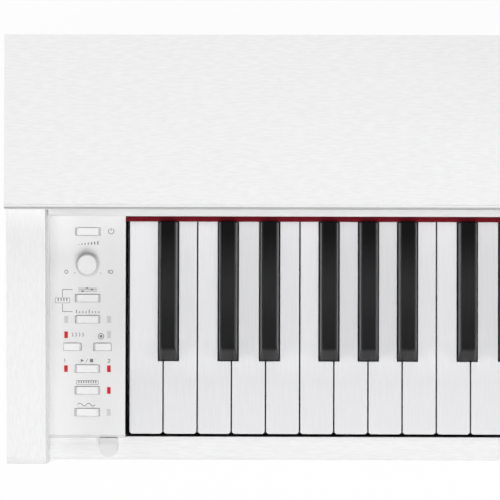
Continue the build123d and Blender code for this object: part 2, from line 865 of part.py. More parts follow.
# Music rest: a leaning desk with a ledge and a page stop, on two tabs that drop into the top board
lean = radians(rest_lean)
desk_plane = Plane(
    origin=(0, rest_line, overall_height),
    x_dir=(1, 0, 0),
    z_dir=(0, -cos(lean), sin(lean)),
)
with BuildPart() as music_rest:
    with BuildSketch(desk_plane.offset(-rest_thickness / 2)) as desk:
        with Locations((0, rest_length / 2)):
            Rectangle(rest_width, rest_length)
        fillet(desk.vertices().group_by(Axis.Y)[-1], radius=rest_corner)
    extrude(amount=rest_thickness)
    split(bisect_by=Plane.XY.offset(overall_height), keep=Keep.TOP)
    with BuildSketch(Plane.YZ.offset(-rest_width / 2)):
        with Locations((rest_line - rest_ledge / 2, overall_height + rest_thickness / 2)):
            Rectangle(rest_ledge + rest_thickness, rest_thickness)
        with Locations((rest_line - rest_ledge, overall_height + rest_stop / 2)):
            Rectangle(rest_thickness, rest_stop)
    extrude(amount=rest_width)
    with BuildSketch(Plane.XY.offset(overall_height - tab_depth)):
        with Locations((-tab_place, rest_line), (tab_place, rest_line)):
            Rectangle(tab_width, rest_thickness)
    extrude(amount=tab_depth + rest_thickness / 2)
music_rest.part.label = "music_rest"
export_step(music_rest.part, "parts/music_rest.step")

# Stand legs: a panel under each arm, swept into a long foot
leg_front_line = unit_front + leg_front
leg_rear_line = unit_back - leg_rear
foot_top = foot_rise + foot_height
with BuildPart() as left_leg:
    with BuildSketch(Plane.YZ.offset(-outer_half)) as leg_profile:
        with BuildLine():
            Polyline(
                (-foot_depth / 2, foot_rise),
                (foot_depth / 2, foot_rise),
                (foot_depth / 2, foot_top),
                (leg_rear_line, foot_top),
                (leg_rear_line, unit_bottom),
                (leg_front_line, unit_bottom),
                (leg_front_line, foot_top),
                (-foot_depth / 2, foot_top),
                close=True,
            )
        make_face()
        foot_corners = leg_profile.vertices().group_by(Axis.Y)[1].sort_by(Axis.X)
        fillet(foot_corners[1], radius=leg_fillet)
        fillet(leg_profile.vertices().group_by(Axis.Y)[1].sort_by(Axis.X)[0], radius=foot_radius)
    extrude(amount=side_thickness)
left_leg.part.label = "left_leg"
export_step(left_leg.part, "parts/left_leg.step")

with BuildPart() as right_leg:
    mirror(left_leg.part, about=Plane.YZ)
right_leg.part.label = "right_leg"
export_step(right_leg.part, "parts/right_leg.step")

# Stand rear panel between the legs
with BuildPart() as rear_panel:
    with BuildSketch(Plane.XY.offset(unit_bottom)):
        with Locations((0, leg_rear_line - rear_panel_inset - panel_board / 2)):
            Rectangle(2 * inner_half, panel_board)
    extrude(amount=-rear_panel_height)
rear_panel.part.label = "rear_panel"
export_step(rear_panel.part, "parts/rear_panel.step")

# Pedal bar: a channel open below, notched for the pedals, with two lugs inside for each pedal's pin
bar_back_line = leg_rear_line - bar_inset
bar_front_line = bar_back_line - bar_depth
bar_top = bar_bottom + bar_height
pedal_y = bar_front_line + pedal_pivot_setback
pedal_z = bar_bottom + pedal_pivot_rise
pedal_places = {"soft_pedal": -pedal_spacing, "sostenuto_pedal": 0.0, "damper_pedal": pedal_spacing}
lug_offset = pedal_neck / 2 + lug_gap + lug_thickness / 2
lug_places = [place + side * lug_offset for place in pedal_places.values() for side in (-1, 1)]
with BuildPart() as pedal_bar:
    with BuildSketch(Plane.YZ.offset(-inner_half)):
        with Locations(((bar_front_line + bar_back_line) / 2, (bar_bottom + bar_top) / 2)):
            Rectangle(bar_depth, bar_height)
        with Locations(((bar_front_line + bar_back_line) / 2, (bar_bottom + bar_top - bar_wall) / 2)):
            Rectangle(bar_depth - 2 * bar_wall, bar_height - bar_wall, mode=Mode.SUBTRACT)
    extrude(amount=2 * inner_half)
    with BuildSketch(Plane.XZ.offset(-bar_front_line)):
        with Locations(*[(place, bar_bottom + slot_height / 2) for place in pedal_places.values()]):
            Rectangle(slot_width, slot_height)
    extrude(amount=-bar_wall, mode=Mode.SUBTRACT)
    for lug_x in lug_places:
        with BuildSketch(Plane.YZ.offset(lug_x - lug_thickness / 2)):
            with Locations((pedal_y, (pedal_z - lug_radius + bar_top - bar_wall) / 2)):
                Rectangle(2 * lug_radius, bar_top - bar_wall - pedal_z + lug_radius)
            with Locations((pedal_y, pedal_z)):
                Circle(pin_radius + pin_clearance, mode=Mode.SUBTRACT)
        extrude(amount=lug_thickness)
pedal_bar.part.label = "pedal_bar"
export_step(pedal_bar.part, "parts/pedal_bar.step")

# Pedals: a blade on a narrow neck, bowed down to its tip, with its pin
tip_y = pedal_y - pedal_reach
tip_z = pedal_z - pedal_drop
bow_y = tip_y + pedal_reach / 3
bow_z = pedal_z - pedal_drop / 4
root_y = pedal_y + lug_radius
neck_y = pedal_y - lug_radius
over = pedal_thickness / 2
under = -pedal_thickness / 2
with BuildPart() as pedal_blank:
    with BuildSketch(Plane.YZ.offset(-pedal_width / 2)):
        with BuildLine():
            ThreePointArc((tip_y, tip_z + over), (bow_y, bow_z + over), (neck_y, pedal_z + over))
            Polyline(
                (neck_y, pedal_z + over),
                (root_y, pedal_z + over),
                (root_y, pedal_z + under),
                (neck_y, pedal_z + under),
            )
            ThreePointArc((neck_y, pedal_z + under), (bow_y, bow_z + under), (tip_y, tip_z + under))
            Line((tip_y, tip_z + under), (tip_y, tip_z + over))
        make_face()
    extrude(amount=pedal_width)
    with BuildSketch(Plane.XY.offset(pedal_z)):
        with Locations((0, (tip_y + root_y) / 2)):
            Rectangle(pedal_neck, root_y - tip_y)
        with Locations((0, tip_y + pedal_width / 2)):
            Circle(pedal_width / 2)
        with BuildLine():
            Polyline(
                (-pedal_width / 2, tip_y + pedal_width / 2),
                (pedal_width / 2, tip_y + pedal_width / 2),
                (pedal_neck / 2, tip_y + pedal_blade),
                (-pedal_neck / 2, tip_y + pedal_blade),
                close=True,
            )
        make_face()
    extrude(amount=bar_height, both=True, mode=Mode.INTERSECT)
    with BuildSketch(Plane.YZ.offset(-pedal_neck / 2 - pin_end)):
        with Locations((pedal_y, pedal_z)):
            Circle(pin_radius)
    extrude(amount=pedal_neck + 2 * pin_end)
for name, place in pedal_places.items():
    with BuildPart() as pedal:
        with Locations((place, 0, 0)):
            add(pedal_blank.part)
    pedal.part.label = name
    export_step(pedal.part, f"parts/{name}.step")

# Rubber: floor pads, supports under the pedal bar, and the lid bumpers on the key slip
pad_x = outer_half - side_thickness / 2
pad_y = foot_depth / 2 - pad_inset - pad_length / 2
bumper_x = keyboard_half + key_end_gap + bumper_offset
bumper_y = panel_front - bumper_gap - bumper_depth / 2
lid_bottom_closed = key_height + lid_rise - lid_travel * sin(lid_angle)
with BuildPart() as rubber_pads:
    with BuildSketch(Plane.XY):
        with GridLocations(2 * pad_x, 2 * pad_y, 2, 2):
            Rectangle(pad_width, pad_length)
    extrude(amount=foot_rise)
    with BuildSketch(Plane.XY):
        with Locations(*[(side * pedal_spacing / 2, bar_front_line + bar_wall / 2) for side in (-1, 1)]):
            Circle(support_radius)
    extrude(amount=support_foot)
    with BuildSketch(Plane.XY):
        with Locations(*[(side * pedal_spacing / 2, bar_front_line + bar_wall / 2) for side in (-1, 1)]):
            Circle(support_stem)
    extrude(amount=bar_bottom)
    with BuildSketch(Plane.XY.offset(slip_top)) as bumper_outline:
        with Locations((-bumper_x, bumper_y), (bumper_x, bumper_y)):
            Rectangle(bumper_width, bumper_depth)
        fillet(bumper_outline.vertices().group_by(Axis.Y)[0], radius=bumper_corner)
    extrude(amount=lid_bottom_closed - bumper_clearance - slip_top)
    for bumper_top in rubber_pads.faces().sort_by(Axis.Z)[-2:]:
        chamfer(bumper_top.edges().sort_by(Axis.Y)[-1], length=bumper_slope)
rubber_pads.part.label = "rubber_pads"
export_step(rubber_pads.part, "parts/rubber_pads.step")
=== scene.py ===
import json
from math import cos, pi, radians, sin

import bpy
from mathutils import Matrix, Vector


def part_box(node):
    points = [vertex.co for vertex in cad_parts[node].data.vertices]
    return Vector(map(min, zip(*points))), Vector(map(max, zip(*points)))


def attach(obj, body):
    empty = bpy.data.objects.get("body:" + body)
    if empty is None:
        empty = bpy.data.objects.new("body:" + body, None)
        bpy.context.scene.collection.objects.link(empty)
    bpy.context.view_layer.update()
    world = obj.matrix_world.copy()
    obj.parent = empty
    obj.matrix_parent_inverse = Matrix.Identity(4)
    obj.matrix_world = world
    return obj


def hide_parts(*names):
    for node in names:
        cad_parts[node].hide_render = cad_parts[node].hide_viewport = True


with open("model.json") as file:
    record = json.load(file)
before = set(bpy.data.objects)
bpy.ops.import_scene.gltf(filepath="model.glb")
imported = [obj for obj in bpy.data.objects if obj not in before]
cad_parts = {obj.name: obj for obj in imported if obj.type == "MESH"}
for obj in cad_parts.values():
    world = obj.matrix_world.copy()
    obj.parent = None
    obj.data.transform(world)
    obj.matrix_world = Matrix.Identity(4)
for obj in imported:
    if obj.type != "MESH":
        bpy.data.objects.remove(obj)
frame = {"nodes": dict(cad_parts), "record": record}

# A slim white console digital piano, seen straight from above at its bass end. Lengths are in metres.
# Values in millimetres are multiplied by MM, and the printed signs are drawn in millimetres.
MM = 0.001
X, Y, Z = 0, 1, 2
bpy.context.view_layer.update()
nodes = frame["nodes"]

# Colours, linear light
WHITE_BOARD = (0.87, 0.87, 0.873)
WHITE_BOARD_PORE = (0.826, 0.826, 0.83)
# The side boards' white is a darker copy of the board's white: painted shade against the stronger light on
# them.
ARM_WHITE_PAINTED_SHADE = (0.84, 0.84, 0.843)
ARM_PORE_PAINTED_SHADE = (0.80, 0.80, 0.803)
ARM_INSIDE_PAINTED_LIGHT = (0.94, 0.94, 0.942)
# The lid's white is greyer than the board's: painted shade under the top board's front edge.
LID_WHITE_PAINTED_SHADE = (0.81, 0.81, 0.81)
LID_PORE_PAINTED_SHADE = (0.78, 0.78, 0.78)
EDGE_PAINTED_SHADE = (0.40, 0.40, 0.405)
PANEL_GREY = (0.83, 0.83, 0.832)
PANEL_EDGE_PAINTED_SHADE = (0.69, 0.69, 0.692)
BUTTON_WHITE = (0.88, 0.88, 0.88)
BUTTON_SIDE_PAINTED_SHADE = (0.64, 0.64, 0.64)
KNOB_SIDE_PAINTED_SHADE = (0.66, 0.66, 0.66)
IVORY = (0.79, 0.79, 0.804)
IVORY_STREAK = (0.762, 0.762, 0.776)
EBONY = (0.008, 0.008, 0.009)
EBONY_STREAK = (0.004, 0.004, 0.005)
FELT_RED = (0.20, 0.006, 0.016)
FELT_SHADE = (0.10, 0.003, 0.008)
LED_RED = (0.52, 0.007, 0.013)
LED_OFF = (0.66, 0.655, 0.655)
INK = (0.20, 0.20, 0.21)
RUBBER_GREY = (0.785, 0.785, 0.785)
RUBBER_SLOPE_PAINTED_LIGHT = (0.93, 0.93, 0.93)
BRASS = (0.72, 0.58, 0.30)
STEEL = (0.52, 0.52, 0.53)
IRON = (0.16, 0.16, 0.165)
FRAME_BLACK = (0.012, 0.012, 0.013)
BOARD_GREEN = (0.02, 0.13, 0.05)
CONE_BLACK = (0.02, 0.02, 0.02)
SHADE_BLACK = (0.004, 0.004, 0.004)
SOCKET_BLACK = (0.015, 0.015, 0.016)

# Textures: features in one metre along and across the grain, and the depth of the relief
BOARD_GRAIN = {"lengthwise": 130.0, "crosswise": 950.0, "relief": 0.02 * MM}
THIN_GRAIN = {**BOARD_GRAIN, "relief": 0.01 * MM}
KEY_GRAIN = {"lengthwise": 55.0, "crosswise": 1300.0, "relief": 0.015 * MM}
STREAK_LOW, STREAK_HIGH, STREAK_STRENGTH = 0.38, 0.62, 0.6
SKIN_FINENESS, SKIN_RELIEF = 2600.0, 0.02 * MM
SPECK_LOW, SPECK_HIGH, SPECK_STRENGTH = 0.35, 0.60, 0.5
FELT_FIBRES, FELT_NAP = (900.0, 1600.0, 1600.0), 0.25 * MM
FELT_LOW, FELT_HIGH, FELT_STRENGTH = 0.30, 0.62, 0.8
LED_FINENESS, LED_SHADE = SKIN_FINENESS / 4, 0.93
LED_LOW, LED_HIGH = 0.3, 0.7

# Painted light and shade along the keys: from where to where the colour changes, and its gain behind,
# lighter on the ivory and darker on the ebony. The sheen of a sharp's flat top is a roughness at each place,
# and its slopes and edges have one of their own.
IVORY_PAINTED_LIGHT_BEHIND = (-93.0 * MM, -62.0 * MM, 1.22)
EBONY_PAINTED_SHADE_BEHIND = (-4.0 * MM, 9.0 * MM, 0.1)
EBONY_SHEEN = (
    (-72.0 * MM, 0.14), (-51.0 * MM, 0.175), (-37.0 * MM, 0.215), (-23.0 * MM, 0.22),
    (-13.0 * MM, 0.195), (-3.0 * MM, 0.14), (9.0 * MM, 0.07),
)
EBONY_EDGE_ROUGHNESS = 0.34
SLOPED, LEVEL = 0.94, 0.99

# Camera, from the place in the photograph's middle on the key tops
VIEW_CENTRE = (-530.15 * MM, -2.7 * MM, 730.0 * MM)
CAMERA_PLACE = (-507.85 * MM, -49.3 * MM, 2976.8 * MM)
IMAGE_PIXELS = 500
FOCAL_PIXELS = 3249.0
SENSOR_MM = 36.0
CAMERA_ROLL = radians(0.15)
CAMERA_REACH = 50.0


# Shader helpers
def new_material(name, colour, roughness, metallic=0.0, specular=0.5):
    """A principled material, its node tree and its shader."""
    material = bpy.data.materials.new(name)
    material.use_nodes = True
    tree = material.node_tree
    shader = tree.nodes["Principled BSDF"]
    shader.inputs["Base Color"].default_value = (*colour, 1)
    shader.inputs["Roughness"].default_value = roughness
    shader.inputs["Metallic"].default_value = metallic
    shader.inputs["Specular IOR Level"].default_value = specular
    return material, tree, shader


def frame_place(tree, stretch):
    """The place of a point in the part's frame, scaled along each axis."""
    place = tree.nodes.new("ShaderNodeTexCoord")
    mapping = tree.nodes.new("ShaderNodeMapping")
    mapping.inputs["Scale"].default_value = stretch
    tree.links.new(place.outputs["Object"], mapping.inputs["Vector"])
    return mapping.outputs["Vector"]


def place_along(tree, axis):
    """The place of a point along one axis of the part's frame."""
    place = tree.nodes.new("ShaderNodeTexCoord")
    parts = tree.nodes.new("ShaderNodeSeparateXYZ")
    tree.links.new(place.outputs["Object"], parts.inputs["Vector"])
    return parts.outputs[axis]


def noise(tree, stretch, detail=3.0, distortion=0.0):
    """Noise with features of one metre divided by the stretch."""
    node = tree.nodes.new("ShaderNodeTexNoise")
    node.inputs["Scale"].default_value = 1.0
    node.inputs["Detail"].default_value = detail
    node.inputs["Distortion"].default_value = distortion
    tree.links.new(frame_place(tree, stretch), node.inputs["Vector"])
    return node.outputs["Fac"]


def calculate(tree, operation, first, second=None):
    """The result of a math node, whose second value is a socket, a number or none."""
    node = tree.nodes.new("ShaderNodeMath")
    node.operation = operation
    tree.links.new(first, node.inputs[0])
    if isinstance(second, float):
        node.inputs[1].default_value = second
    elif second is not None:
        tree.links.new(second, node.inputs[1])
    return node.outputs[0]


def map_range(tree, value, start, end, first=0.0, last=1.0):
    """A number that goes from the first to the last while the value goes from start to end."""
    node = tree.nodes.new("ShaderNodeMapRange")
    node.inputs["From Min"].default_value = start
    node.inputs["From Max"].default_value = end
    node.inputs["To Min"].default_value = first
    node.inputs["To Max"].default_value = last
    tree.links.new(value, node.inputs["Value"])
    return node.outputs["Result"]


def ramp(tree, factor, low, high, first, last):
    """A colour that goes from the first to the last while the factor goes from low to high."""
    node = tree.nodes.new("ShaderNodeValToRGB")
    start, end = node.color_ramp.elements
    start.position = low
    start.color = (*first, 1)
    end.position = high
    end.color = (*last, 1)
    tree.links.new(factor, node.inputs["Fac"])
    return node.outputs["Color"]


def add_bump(tree, shader, height, depth, strength):
    """Relief of the given depth in metres."""
    node = tree.nodes.new("ShaderNodeBump")
    node.inputs["Strength"].default_value = strength
    node.inputs["Distance"].default_value = depth
    tree.links.new(height, node.inputs["Height"])
    tree.links.new(node.outputs["Normal"], shader.inputs["Normal"])


def darker(colour, share):
    """The same colour with a share of its light."""
    return tuple(channel * share for channel in colour)


def along(axis, lengthwise, crosswise):
    """A stretch that is long along one axis and fine across it."""
    return [lengthwise if index == axis else crosswise for index in range(3)]


def grained(name, axis, base, streak, roughness, lengthwise, crosswise, relief, specular=0.5):
    """A material with streaks that run along one axis, with relief that follows them."""
    material, tree, shader = new_material(name, base, roughness, specular=specular)
    streaks = noise(tree, along(axis, lengthwise, crosswise), detail=3.0, distortion=0.3)
    colour = ramp(tree, streaks, STREAK_LOW, STREAK_HIGH, streak, base)
    tree.links.new(colour, shader.inputs["Base Color"])
    add_bump(tree, shader, streaks, relief, STREAK_STRENGTH)
    return material


def speckled(
    name, base, shade, roughness, fineness=SKIN_FINENESS, relief=SKIN_RELIEF, metallic=0.0, specular=0.5
):
    """A material with an even fine texture, in which the shade is a share of the colour."""
    material, tree, shader = new_material(name, base, roughness, metallic, specular)
    specks = noise(tree, [fineness] * 3, detail=2.0)
    colour = ramp(tree, specks, SPECK_LOW, SPECK_HIGH, darker(base, shade), base)
    tree.links.new(colour, shader.inputs["Base Color"])
    add_bump(tree, shader, specks, relief, SPECK_STRENGTH)
    return material


def felt_material():
    """Pressed wool felt: uneven, matt, with a soft sheen."""
    material, tree, shader = new_material("red_felt", FELT_RED, roughness=0.95, specular=0.1)
    fibres = noise(tree, FELT_FIBRES, detail=6.0)
    colour = ramp(tree, fibres, FELT_LOW, FELT_HIGH, FELT_SHADE, FELT_RED)
    tree.links.new(colour, shader.inputs["Base Color"])
    add_bump(tree, shader, fibres, FELT_NAP, FELT_STRENGTH)
    shader.inputs["Sheen Weight"].default_value = 0.15
    shader.inputs["Sheen Roughness"].default_value = 0.5
    return material


def led_material(name, colour, glow):
    """A moulded window, with a little light from inside where it is lit."""
    material, tree, shader = new_material(name, colour, roughness=0.4, specular=0.2)
    haze = noise(tree, [LED_FINENESS] * 3, detail=2.0)
    window = ramp(tree, haze, LED_LOW, LED_HIGH, darker(colour, LED_SHADE), colour)
    tree.links.new(window, shader.inputs["Base Color"])
    shader.inputs["Emission Color"].default_value = (*colour, 1)
    shader.inputs["Emission Strength"].default_value = glow
    return material


def inside(tree, limits):
    """One where a point's distances from the frame's origin keep all the (axis, comparison, value)."""
    total = None
    for axis, comparison, value in limits:
        distance = calculate(tree, "ABSOLUTE", place_along(tree, axis))
        test = calculate(tree, comparison, distance, value)
        total = test if total is None else calculate(tree, "MULTIPLY", total, test)
    return total


def recolour(material, colour, *limits):
    """Gives the part of a material inside the limits another colour."""
    tree = material.node_tree
    socket = tree.nodes["Principled BSDF"].inputs["Base Color"]
    before = socket.links[0].from_socket
    mix = tree.nodes.new("ShaderNodeMix")
    mix.data_type = "RGBA"
    tree.links.new(inside(tree, limits), mix.inputs["Factor"])
    tree.links.new(before, mix.inputs["A"])
    mix.inputs["B"].default_value = (*colour, 1)
    tree.links.new(mix.outputs["Result"], socket)


def paint_shading_behind(material, start, end, gain):
    """Scales a key's colour behind by a gain: painted light where the gain is above one, painted shade below
    one.
    """
    tree = material.node_tree
    socket = tree.nodes["Principled BSDF"].inputs["Base Color"]
    before = socket.links[0].from_socket
    scale = tree.nodes.new("ShaderNodeVectorMath")
    scale.operation = "SCALE"
    tree.links.new(before, scale.inputs["Vector"])
    share = map_range(tree, place_along(tree, "Y"), start, end, 1.0, gain)
    tree.links.new(share, scale.inputs["Scale"])
    tree.links.new(scale.outputs["Vector"], socket)


def sheen_along(material, stops, edge_roughness):
    """Gives a key's flat top the roughness of each stop at its place, and its slopes and edges their own."""
    tree = material.node_tree
    start, end = stops[0][0], stops[-1][0]
    curve = tree.nodes.new("ShaderNodeValToRGB")
    points = curve.color_ramp.elements
    for _ in stops[2:]:
        points.new(0.5)
    for point, (place, roughness) in zip(points, stops):
        point.position = (place - start) / (end - start)
        point.color = (roughness, roughness, roughness, 1)
    tree.links.new(map_range(tree, place_along(tree, "Y"), start, end), curve.inputs["Fac"])
    surface = tree.nodes.new("ShaderNodeNewGeometry")
    facing = tree.nodes.new("ShaderNodeSeparateXYZ")
    tree.links.new(surface.outputs["Normal"], facing.inputs["Vector"])
    mix = tree.nodes.new("ShaderNodeMix")
    mix.inputs["A"].default_value = edge_roughness
    tree.links.new(map_range(tree, facing.outputs["Z"], SLOPED, LEVEL), mix.inputs["Factor"])
    tree.links.new(curve.outputs["Color"], mix.inputs["B"])
    tree.links.new(mix.outputs["Result"], tree.nodes["Principled BSDF"].inputs["Roughness"])


# Materials
# The side boards' (Y) colours are darker than the other boards': painted shade.
board = {
    axis: grained(f"white_board_{letter}", axis, base, pore, roughness=0.5, **BOARD_GRAIN)
    for axis, letter, base, pore in (
        (X, "x", WHITE_BOARD, WHITE_BOARD_PORE),
        (Y, "y", ARM_WHITE_PAINTED_SHADE, ARM_PORE_PAINTED_SHADE),
        (Z, "z", WHITE_BOARD, WHITE_BOARD_PORE),
    )
}
ivory = grained("ivory_key", Y, IVORY, IVORY_STREAK, roughness=0.45, **KEY_GRAIN)
ebony = grained("ebony_key", Y, EBONY, EBONY_STREAK, roughness=0.22, specular=0.45, **KEY_GRAIN)
# Painted light: the ivory is lighter behind, between the sharps.
paint_shading_behind(ivory, *IVORY_PAINTED_LIGHT_BEHIND)
# Painted shade: the ebony is darker behind, near the felt.
paint_shading_behind(ebony, *EBONY_PAINTED_SHADE_BEHIND)
sheen_along(ebony, EBONY_SHEEN, EBONY_EDGE_ROUGHNESS)
# Painted shade: the lid's material is a greyer copy of the white board.
lid_board_painted_shade = grained("lid_board_painted_shade", X, LID_WHITE_PAINTED_SHADE, LID_PORE_PAINTED_SHADE, roughness=0.5, **THIN_GRAIN)
edge_band = grained("edge_band", X, WHITE_BOARD, WHITE_BOARD_PORE, roughness=0.45, **THIN_GRAIN)
panel = speckled("panel_plastic", PANEL_GREY, shade=0.975, roughness=0.5)
button = speckled("button_plastic", BUTTON_WHITE, shade=0.98, roughness=0.42)
knob = speckled("knob_plastic", BUTTON_WHITE, shade=0.98, roughness=0.42)
rest_plastic = speckled("rest_plastic", WHITE_BOARD, shade=0.98, roughness=0.4)
rubber = speckled("rubber", RUBBER_GREY, shade=0.94, roughness=0.75, specular=0.3)
brass = speckled(
    "pedal_brass", BRASS, shade=0.93, roughness=0.22, fineness=900.0, relief=0.01 * MM, metallic=1.0,
)
steel = speckled(
    "screw_steel", STEEL, shade=0.85, roughness=0.35, fineness=1500.0, relief=0.02 * MM, metallic=1.0,
)
iron = speckled(
    "hammer_iron", IRON, shade=0.7, roughness=0.6, fineness=700.0, relief=0.06 * MM, metallic=0.8,
)
frame_plastic = speckled("frame_plastic", FRAME_BLACK, shade=0.6, roughness=0.6)
board_green = speckled(
    "circuit_board", BOARD_GREEN, shade=0.6, roughness=0.4, fineness=400.0, relief=0.03 * MM,
)
cone = speckled(
    "speaker_black", CONE_BLACK, shade=0.5, roughness=0.7, fineness=1200.0, relief=0.05 * MM,
)
# Painted shade: the screws' cross recesses are a black material rather than hollows.
recess_shade = speckled(
    "screw_recess_painted_shade", SHADE_BLACK, shade=0.6, roughness=0.7, fineness=1500.0, relief=0.02 * MM,
)
ink = speckled("printed_ink", INK, shade=0.92, roughness=0.6, relief=0.005 * MM)
felt = felt_material()
led_lit = led_material("led_lit", LED_RED, glow=0.25)
led_off = led_material("led_off", LED_OFF, glow=0.0)

# Parts of pieces in other colours: the sockets are black; the panels' walls in the key well are black and
# the panels' front edges and the sides of the knob and buttons greyer, as painted shade; and the side
# boards' inner faces and the bumpers' rear slopes paler, as painted light
FACE_MARGIN = 0.1 * MM
SOCKET_DEPTH = 18.1 * MM
SOCKET_BOTTOM = 671.65 * MM
PANEL_ROUND = 0.5 * MM
PANEL_BEVEL = 2.45 * MM
KNOB_SHADE_DROP = 0.35 * MM
BUTTON_DROP = 0.12 * MM
BUMPER_SLOPE = 3.8 * MM
BUMPER_REACH = 20.0 * MM

panel_low, panel_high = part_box("control_panel")
PANEL_FRONT = panel_low.y
PANEL_TOP = panel_high.z
WELL_SIDE = -panel_high.x + FACE_MARGIN
WELL_TOP = PANEL_TOP - PANEL_ROUND
BUMPER_BOTTOM = WELL_TOP - BUMPER_REACH
SOCKET_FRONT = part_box("circuit_boards")[1].y - SOCKET_DEPTH
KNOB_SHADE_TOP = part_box("volume_knob")[1].z - KNOB_SHADE_DROP
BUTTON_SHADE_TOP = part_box("power_button")[1].z - BUTTON_DROP
ARM_INNER = -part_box("left_side_board")[1].x + FACE_MARGIN

# Painted shade: the panels' walls in the key well are black.
recolour(panel, SHADE_BLACK, ("X", "LESS_THAN", WELL_SIDE), ("Z", "LESS_THAN", WELL_TOP))
# Painted shade: the panel's front bevel is greyer.
recolour(panel, PANEL_EDGE_PAINTED_SHADE, ("Y", "GREATER_THAN", -PANEL_FRONT - PANEL_BEVEL))
recolour(
    board_green, SOCKET_BLACK,
    ("Y", "GREATER_THAN", SOCKET_FRONT), ("Z", "GREATER_THAN", SOCKET_BOTTOM),
)
# Painted light: the side boards' inner faces are paler.
recolour(board[Y], ARM_INSIDE_PAINTED_LIGHT, ("X", "LESS_THAN", ARM_INNER))
# Painted shade: the knob's side wall is darker than its top.
recolour(knob, KNOB_SIDE_PAINTED_SHADE, ("Z", "LESS_THAN", KNOB_SHADE_TOP))
# Painted shade: the buttons' sides are greyer.
recolour(button, BUTTON_SIDE_PAINTED_SHADE, ("Z", "LESS_THAN", BUTTON_SHADE_TOP))
# Painted light: the bumpers' rear slopes are paler.
recolour(
    rubber, RUBBER_SLOPE_PAINTED_LIGHT,
    ("Y", "LESS_THAN", -PANEL_FRONT + BUMPER_SLOPE), ("Z", "GREATER_THAN", BUMPER_BOTTOM),
)


# Finish of every CAD node, and a small rounding of its edges
SLOT_FINISH = {
    "laminate": board[X],
    "lid": lid_board_painted_shade,
    "panel_plastic": panel,
    "button_plastic": button,
    "knob_plastic": knob,
    "white_key": ivory,
    "black_key": ebony,
    "hammer_iron": iron,
    "frame_plastic": frame_plastic,
    "circuit_board": board_green,
    "speaker_metal": cone,
    "felt": felt,
    "led_lit": led_lit,
    "led_dark": led_off,
    "pedal_metal": brass,
    "rubber": rubber,
    "screw_steel": steel,
    "rest_plastic": rest_plastic,
}
NODE_FINISH = {
    "left_side_board": board[Y],
    "right_side_board": board[Y],
    "left_leg": board[Z],
    "right_leg": board[Z],
}
EDGE_ROUNDING = {
    "laminate": 0.8 * MM,
    "lid": 0.5 * MM,
    "panel_plastic": 0.15 * MM,
    "button_plastic": 0.15 * MM,
    "knob_plastic": 0.25 * MM,
    "white_key": 0.3 * MM,
    "black_key": 0.35 * MM,
    "pedal_metal": 1.2 * MM,
    "rubber": 0.5 * MM,
    "rest_plastic": 0.6 * MM,
}
SHARP_NODES = ("back_board",)
WELD_DISTANCE = 0.002 * MM
EDGE_ANGLE = radians(28)
EDGE_SEGMENTS = 2

slot_of = {part["node"]: part["material_slot"] for part in frame["record"]["subparts"]}


def finish_node(name):
    """Gives a CAD node its material and, where it is touched or seen, softened edges."""
    piece = nodes[name]
    slot = slot_of[name]
    piece.data.materials.clear()
    piece.data.materials.append(NODE_FINISH.get(name, SLOT_FINISH[slot]))
    if slot in EDGE_ROUNDING and name not in SHARP_NODES:
        weld = piece.modifiers.new("weld", "WELD")
        weld.merge_threshold = WELD_DISTANCE
        rounding = piece.modifiers.new("edge_rounding", "BEVEL")
        rounding.width = EDGE_ROUNDING[slot]
        rounding.segments = EDGE_SEGMENTS
        rounding.limit_method = "ANGLE"
        rounding.angle_limit = EDGE_ANGLE
        rounding.harden_normals = True


for node_name in nodes:
    finish_node(node_name)


# Helpers for the pieces that are made here
QUARTER_TURN = [radians(angle) for angle in range(0, 91, 15)]


def new_piece(name, vertices, faces, material):
    """A mesh object in the scene, with one material."""
    mesh = bpy.data.meshes.new(name)
    mesh.from_pydata(vertices, [], faces)
    mesh.materials.append(material)
    piece = bpy.data.objects.new(name, mesh)
    bpy.context.scene.collection.objects.link(piece)
    return piece


def prism_faces(start, count, turn=1):
    """The faces of a prism whose far ring follows its near one; turn is -1 for clockwise rings."""
    near = list(range(start, start + count))
    far = [index + count for index in near]
    sides = [[near[i - 1], near[i], far[i], far[i - 1]] for i in range(count)]
    return [face[::turn] for face in [near[::-1], far] + sides]


def upper_round(front, top, radius):
    """A quarter round from a front face up to a top face, as places along Y and Z."""
    return [(front + radius * (1 - cos(a)), top - radius * (1 - sin(a))) for a in QUARTER_TURN]


def lower_round(front, bottom, radius):
    """A quarter round from a bottom face up to a front face, as places along Y and Z."""
    return [(front + radius * (1 - sin(a)), bottom + radius * (1 - cos(a))) for a in QUARTER_TURN]


# Felt strip: pressed wool with a soft front edge, a little uneven along its length
FELT_STEP = 4.0 * MM
FELT_ROUND = 1.3 * MM
FELT_UNEVEN = 0.16 * MM
FELT_FRONT_PHASE, FELT_TOP_PHASE = 0.4, 1.9
FELT_WAVES = ((61.0, 1.0), (143.0, 2.1), (377.0, 3.3))


def felt_wander(x, phase):
    """A slow uneven line, from zero to one."""
    waves = sum(sin(x * number + shift * phase) for number, shift in FELT_WAVES)
    return 0.5 + waves / (2 * len(FELT_WAVES))


